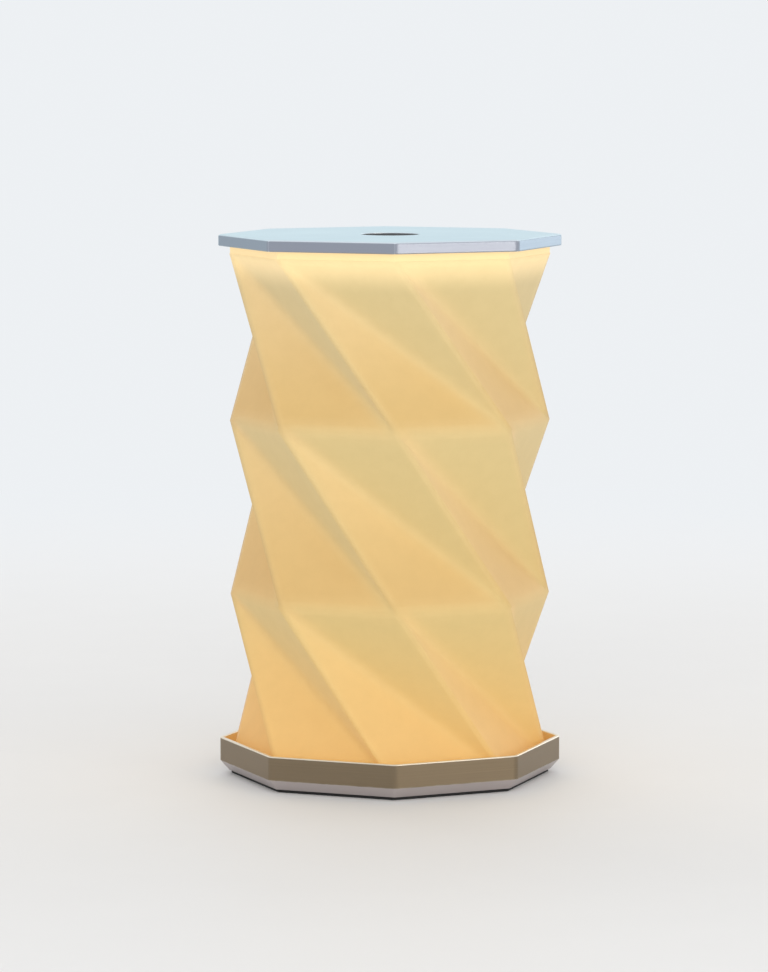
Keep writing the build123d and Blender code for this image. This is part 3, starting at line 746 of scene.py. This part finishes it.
def paper_material(settings):
    """Translucent paper lit from inside."""
    made, tree, shader = material("lit paper")
    row = attribute(tree, "row")
    fibres = use_effect(tree, "Paper fibres", place=paper_place(tree, row))
    cloud = fibres["Cloud"]
    put(tree, shader.inputs["Emission Color"], paper_glow(tree, settings, row, cloud))
    shader.inputs["Emission Strength"].default_value = settings.glow_strength
    deeper = opaque([c * CLOUD_DEPTH for c in settings.paper_colour])
    unlit = blend_colour(tree, cloud, deeper, opaque(settings.paper_colour))
    put(tree, shader.inputs["Base Color"], unlit)
    shader.inputs["Roughness"].default_value = 0.72
    shader.inputs["Specular IOR Level"].default_value = 0.25
    shader.inputs["Sheen Weight"].default_value = 0.15
    bump(tree, shader, fibres["Fibre"], 0.00006, 0.6)
    return made


def heights_and_reach(tree):
    """Height of a place, and its distance from the axis square to the nearest side."""
    place = place_of(tree)
    parts = node(tree, "ShaderNodeSeparateXYZ", {"Vector": place})
    return parts.outputs["Z"], use_effect(tree, "Octagon reach", place=place)["Reach"]


def repaint(tree, mask, colour):
    """Lay another colour over a metal's own, by a mask."""
    base = tree.nodes["Principled BSDF"].inputs["Base Color"]
    put(tree, base, blend_colour(tree, mask, base.links[0].from_socket, opaque(colour)))


def finish_tray(settings):
    """Tray: brushed wall; rim and inside painted pale warm, a painted light from the shade's glow and a
    painted highlight along the rim; bevel round the foot lighter, partly an etched finish and partly a
    painted reflection of the lit floor.
    """
    # The tray's warm brown colour is a painted reflection of the shade's warm glow.
    made = metal("tray aluminium", settings.tray, 0.36, settings.tray_worn_highlight)
    tree = made.node_tree
    height, reach = heights_and_reach(tree)
    # Inner walls and rim top painted pale warm: painted light from the shade's glow, and a painted highlight
    # along the rim.
    inside = smooth_range(tree, reach, METAL_REACH - EDGE_DEPTH, METAL_REACH - 2.0 * EDGE_DEPTH)
    rim = smooth_range(tree, height, TRAY_TOP - EDGE_DEPTH, TRAY_TOP - EDGE_FADE)
    repaint(tree, calc(tree, "MAXIMUM", inside, rim), settings.tray_inside_glow)
    # Bevel band painted lighter: partly an etched finish, partly a painted reflection of the lit floor.
    band = smooth_range(tree, height, BEVEL_TOP + EDGE_FADE / 2.0, BEVEL_TOP - EDGE_FADE / 2.0)
    repaint(tree, band, settings.bevel)
    metallic = tree.nodes["Principled BSDF"].inputs["Metallic"]
    put(tree, metallic, calc(tree, "MULTIPLY_ADD", band, -0.5, 1.0))
    finish_nodes(made, "base_tray")


def finish_cover(settings):
    """Cover: blasted top, brushed edge painted darker as painted shade for the little light its upright
    sides catch.
    """
    # The cover's cool blue colour is a painted reflection of bluish light from above.
    made = metal("cover aluminium", settings.cover, 0.30, settings.cover_worn_highlight)
    tree = made.node_tree
    height, reach = heights_and_reach(tree)
    # Upright sides painted darker: painted shade for the little light they catch.
    beside = smooth_range(tree, reach, METAL_REACH - EDGE_START, METAL_REACH - EDGE_FADE)
    below = smooth_range(tree, height, COVER_TOP - EDGE_FADE, COVER_TOP - EDGE_DEPTH)
    repaint(tree, calc(tree, "MULTIPLY", beside, below), settings.cover_side_shade)
    # Blue glance tint: painted reflection of bluish light from above.
    tree.nodes["Principled BSDF"].inputs["Specular Tint"].default_value = opaque(settings.cover_glance)
    finish_nodes(made, "top_cover")


def finish_metal(settings):
    """Finishes of the cover, the tray and the steel pieces."""
    finish_cover(settings)
    finish_tray(settings)
    steel = metal("zinc plated steel", settings.steel, 0.34, settings.steel_worn, grain=0.5, edge=0.00015)
    finish_nodes(steel, "ballast_plate", "base_screws", "top_screws", "board_screws", "charging_socket")


def finish_plastic(settings):
    """Finishes of the moulded pieces: button, inner mouldings, foot pad, return ring and diffuser."""
    black, shader = plastic("black plastic", settings.black, 0.60, relief=0.00001, variation=0.15)
    shader.inputs["Specular IOR Level"].default_value = 0.12
    finish_nodes(black, "switch_button", "switch_plunger", "tactile_switch", "socket_insert")
    white = plastic("white plastic", settings.white, 0.45)
    finish_nodes(white[0], "top_chassis", "upper_clamp_ring", "lower_clamp_ring")
    rubber = plastic("foot rubber", settings.rubber, 0.80, grain_scale=900.0, relief=0.00006, variation=0.2)
    finish_nodes(rubber[0], "foot_pad")
    silicone, shader = plastic("silicone", settings.silicone, 0.55, grain_scale=2600.0, relief=0.000008)
    shader.inputs["Transmission Weight"].default_value = 0.25
    finish_nodes(silicone, "return_ring")
    opal, shader = plastic("opal plastic", settings.opal, 0.40, grain_scale=2400.0, relief=0.000006)
    shader.inputs["Emission Color"].default_value = opaque(settings.lamp_light)
    shader.inputs["Emission Strength"].default_value = 1.0
    finish_nodes(opal, "diffuser")


def traces(tree, place, pitch, width):
    """Copper tracks as a mask: slanting runs that turn round scattered points."""
    inputs = {"Vector": place, "Scale": 1.0 / pitch, "Randomness": 0.8}
    lanes = node(tree, "ShaderNodeTexVoronoi", inputs, distance="MANHATTAN")
    band = calc(tree, "FRACT", calc(tree, "MULTIPLY", lanes.outputs["Distance"], 3.0))
    off = calc(tree, "ABSOLUTE", calc(tree, "SUBTRACT", band, 0.5))
    return smooth_range(tree, off, width, width - 0.06)


def board(name, mask_colour, track_colour, pitch):
    """Circuit board or flexible strip: mask over faintly raised tracks, with a little dust."""
    made, tree, shader = material(name)
    place = place_of(tree)
    tracks = traces(tree, place, pitch, 0.3)
    handling = use_effect(tree, "Handling", place=place)
    masked = blend_colour(tree, tracks, opaque(mask_colour), opaque(track_colour))
    dusty = calc(tree, "MULTIPLY", handling["Dust"], 0.25)
    put(tree, shader.inputs["Base Color"], blend_colour(tree, dusty, masked, opaque(DUST)))
    rough = calc(tree, "MULTIPLY_ADD", handling["Smudge"], 0.15, 0.28)
    put(tree, shader.inputs["Roughness"], rough)
    bump(tree, shader, tracks, 0.00003)
    return made


def finish_electronics(settings):
    """Finishes of the boards, light sources, cell and flexible strips."""
    green = (settings.green_mask, settings.green_track)
    finish_nodes(board("control board", *green, 0.0030), "control_board")
    finish_nodes(board("charging board", *green, 0.0022), "charging_board")
    finish_nodes(board("lamp board", settings.white_mask, settings.white_track, 0.0040), "led_board")
    flex = board("flexible strip", settings.flex_film, settings.flex_track, 0.0015)
    finish_nodes(flex, "charging_flex", "lamp_flex")
    phosphor, shader = plastic(
        "led phosphor", settings.phosphor, 0.30, grain_scale=4000.0, relief=0.000004
    )
    shader.inputs["Emission Color"].default_value = opaque(settings.lamp_light)
    shader.inputs["Emission Strength"].default_value = 2.0
    finish_nodes(phosphor, "leds")
    foil, shader = plastic(
        "cell foil", settings.foil, 0.26, grain_scale=300.0, relief=0.00004, variation=0.1
    )
    shader.inputs["Metallic"].default_value = 0.9
    finish_nodes(foil, "battery")


def area_light(name, place, size, energy, colour, mirrored):
    """Soft rectangular light that faces the lamp, which the camera doesn't see."""
    lamp = bpy.data.lights.new(name, "AREA")
    lamp.shape = "RECTANGLE"
    lamp.size, lamp.size_y = size
    lamp.energy = energy
    lamp.color = colour
    made = add_object(name, lamp)
    made.location = place
    made.visible_camera = False
    made.visible_glossy = mirrored
    made.rotation_euler = (Vector(LIGHT_AIM) - Vector(place)).to_track_quat("-Z", "Y").to_euler()


def seen_by_eye(tree):
    """1 for rays from the camera, a reflection or a clear piece, 0 for light that falls on the object."""
    rays = tree.nodes.new("ShaderNodeLightPath").outputs
    mirrored = calc(tree, "MAXIMUM", rays["Is Glossy Ray"], rays["Is Transmission Ray"])
    return calc(tree, "MAXIMUM", rays["Is Camera Ray"], mirrored)


def floor_material(settings):
    """Plain pale studio floor with the faintest unevenness, which runs into the backdrop's tone far out."""
    made, tree, shader = material("studio floor")
    place = place_of(tree)
    handling = use_effect(tree, "Handling", place=place)
    lighter = opaque([min(1.0, c * 1.02) for c in settings.floor])
    uneven = blend_colour(tree, handling["Smudge"], opaque(settings.floor), lighter)
    put(tree, shader.inputs["Base Color"], uneven)
    shader.inputs["Roughness"].default_value = 0.6
    shader.inputs["Specular IOR Level"].default_value = 0.15
    reach = node(tree, "ShaderNodeVectorMath", {0: place}, operation="LENGTH")
    far = smooth_range(tree, reach.outputs["Value"], settings.sweep_start, settings.sweep_end)
    sweep = node(tree, "ShaderNodeEmission", {"Color": opaque(settings.backdrop), "Strength": 1.0})
    share = calc(tree, "MULTIPLY", far, seen_by_eye(tree))
    surfaces = {0: share, 1: shader.outputs["BSDF"], 2: sweep.outputs["Emission"]}
    join = node(tree, "ShaderNodeMixShader", surfaces)
    put(tree, tree.nodes["Material Output"].inputs["Surface"], join.outputs["Shader"])
    return made


def make_floor(settings):
    """Large floor disc, level with the underside of the foot pad."""
    shape = bmesh.new()
    bmesh.ops.create_circle(shape, cap_ends=True, segments=FLOOR_SEGMENTS, radius=settings.floor_radius)
    mesh = bpy.data.meshes.new("studio_floor")
    shape.to_mesh(mesh)
    shape.free()
    mesh.materials.append(floor_material(settings))
    floor = add_object("studio_floor", mesh)
    floor.location = (0.0, 0.0, GROUND)


def make_world(settings):
    """Pale backdrop for the camera and for reflections, a calmer ambient light for everything else."""
    world = bpy.data.worlds.new("studio")
    bpy.context.scene.world = world
    world.use_nodes = True
    tree = world.node_tree
    ambient = tree.nodes["Background"]
    ambient.inputs["Color"].default_value = opaque(settings.ambient)
    upward = tree.nodes.new("ShaderNodeTexCoord").outputs["Generated"]
    upward = node(tree, "ShaderNodeSeparateXYZ", {"Vector": upward})
    horizon = smooth_range(tree, upward.outputs["Z"], *HORIZON_BAND)
    added = settings.horizon_strength - settings.ambient_strength
    strength = calc(tree, "MULTIPLY_ADD", horizon, added, settings.ambient_strength)
    put(tree, ambient.inputs["Strength"], strength)
    seen = node(tree, "ShaderNodeBackground", {"Color": opaque(settings.backdrop), "Strength": 1.0})
    lights = {0: seen_by_eye(tree), 1: ambient.outputs["Background"], 2: seen.outputs["Background"]}
    pick = node(tree, "ShaderNodeMixShader", lights)
    put(tree, tree.nodes["World Output"].inputs["Surface"], pick.outputs["Shader"])


def make_camera(settings):
    """Camera at the view fitted to the photograph."""
    turn, pitch = settings.azimuth, settings.pitch
    back = Vector((sin(turn) * cos(pitch), -cos(turn) * cos(pitch), sin(pitch)))
    right = Vector((cos(turn), sin(turn), 0.0))
    aim = Vector((0.0, 0.0, settings.aim_height)) + settings.aim_side * right
    lens = bpy.data.cameras.new("photo_view")
    lens.sensor_width = LONG_SENSOR
    lens.lens = FOCAL_PIXELS * LONG_SENSOR / max(PHOTO_WIDTH, PHOTO_HEIGHT)
    lens.clip_start = NEAR_CLIP
    camera = add_object("photo_view", lens)
    camera.location = aim + settings.distance * back
    camera.rotation_euler = (-back).to_track_quat("-Z", "Y").to_euler()
    bpy.context.scene.camera = camera


class LAMP_OT_fold_shade(bpy.types.Operator):
    """Fold the paper shade and hang it and its collars on the lamp's bodies"""

    bl_idname = "lamp.fold_shade"
    bl_label = "Fold the shade"

    def execute(self, context):
        settings = context.scene.lamp_shade
        paper = paper_material(settings)
        shade = fold_paper(settings, paper)
        upper = paper_collar("upper_collar", UPPER_EDGE, SHADE_HIGH[2], 0, settings, paper)
        lower = paper_collar("lower_collar", LOWER_EDGE, SHADE_LOW[2], settings.storeys, settings, paper)
        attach(shade, "shade")
        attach(upper, "top")
        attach(lower, "base")
        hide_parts("paper_shade")
        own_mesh(shade)
        return {"FINISHED"}


class LAMP_OT_finish_metal(bpy.types.Operator):
    """Give the metal pieces their finishes"""

    bl_idname = "lamp.finish_metal"
    bl_label = "Finish the metal"

    def execute(self, context):
        finish_metal(context.scene.lamp_finish)
        return {"FINISHED"}


class LAMP_OT_finish_plastic(bpy.types.Operator):
    """Give the moulded pieces their finishes"""

    bl_idname = "lamp.finish_plastic"
    bl_label = "Finish the mouldings"

    def execute(self, context):
        finish_plastic(context.scene.lamp_finish)
        return {"FINISHED"}


class LAMP_OT_finish_electronics(bpy.types.Operator):
    """Give the boards, light sources, cell and strips their finishes"""

    bl_idname = "lamp.finish_electronics"
    bl_label = "Finish the electronics"

    def execute(self, context):
        finish_electronics(context.scene.lamp_finish)
        return {"FINISHED"}


class LAMP_OT_set_stage(bpy.types.Operator):
    """Set floor, backdrop, lights and camera"""

    bl_idname = "lamp.set_stage"
    bl_label = "Set the stage"

    def execute(self, context):
        settings = context.scene.lamp_stage
        make_camera(settings)
        make_floor(settings)
        make_world(settings)
        for name, place, size, power, colour, mirrored in LIGHTS:
            area_light(name, place, size, getattr(settings, power), colour, mirrored)
        return {"FINISHED"}


class LAMP_PT_sidebar(bpy.types.Panel):
    """Steps of the lamp's making, in order"""

    bl_idname = "LAMP_PT_sidebar"
    bl_label = "Paper lamp"
    bl_space_type = "VIEW_3D"
    bl_region_type = "UI"
    bl_category = "Paper Lamp"

    def draw(self, context):
        layout = self.layout
        scene = context.scene
        for settings in (scene.lamp_shade, scene.lamp_finish, scene.lamp_stage):
            box = layout.box()
            for key in settings.__annotations__:
                box.prop(settings, key)
        for step in STEPS:
            layout.operator(step.bl_idname)


STEPS = (
    LAMP_OT_fold_shade,
    LAMP_OT_finish_metal,
    LAMP_OT_finish_plastic,
    LAMP_OT_finish_electronics,
    LAMP_OT_set_stage,
)
SETTINGS = {
    "lamp_shade": LampShadeSettings,
    "lamp_finish": LampFinishSettings,
    "lamp_stage": LampStageSettings,
}
EFFECTS = (brushed_effect, wear_and_highlight_effect, handling_effect, moulded_effect, octagon_effect, paper_effect)


def register():
    """Register settings, steps and panel."""
    for settings in SETTINGS.values():
        bpy.utils.register_class(settings)
    for name, settings in SETTINGS.items():
        setattr(bpy.types.Scene, name, PointerProperty(type=settings))
    for step in STEPS:
        bpy.utils.register_class(step)
    bpy.utils.register_class(LAMP_PT_sidebar)


def unregister():
    """Undo what register did, in reverse."""
    bpy.utils.unregister_class(LAMP_PT_sidebar)
    for step in reversed(STEPS):
        bpy.utils.unregister_class(step)
    for name, settings in SETTINGS.items():
        delattr(bpy.types.Scene, name)
        bpy.utils.unregister_class(settings)


def main():
    """Run every step in order."""
    register()
    bpy.context.scene.view_settings.view_transform = "Standard"
    for make_effect in EFFECTS:
        make_effect()
    bpy.ops.lamp.fold_shade()
    bpy.ops.lamp.finish_metal()
    bpy.ops.lamp.finish_plastic()
    bpy.ops.lamp.finish_electronics()
    bpy.ops.lamp.set_stage()


if __name__ == "__main__":
    main()
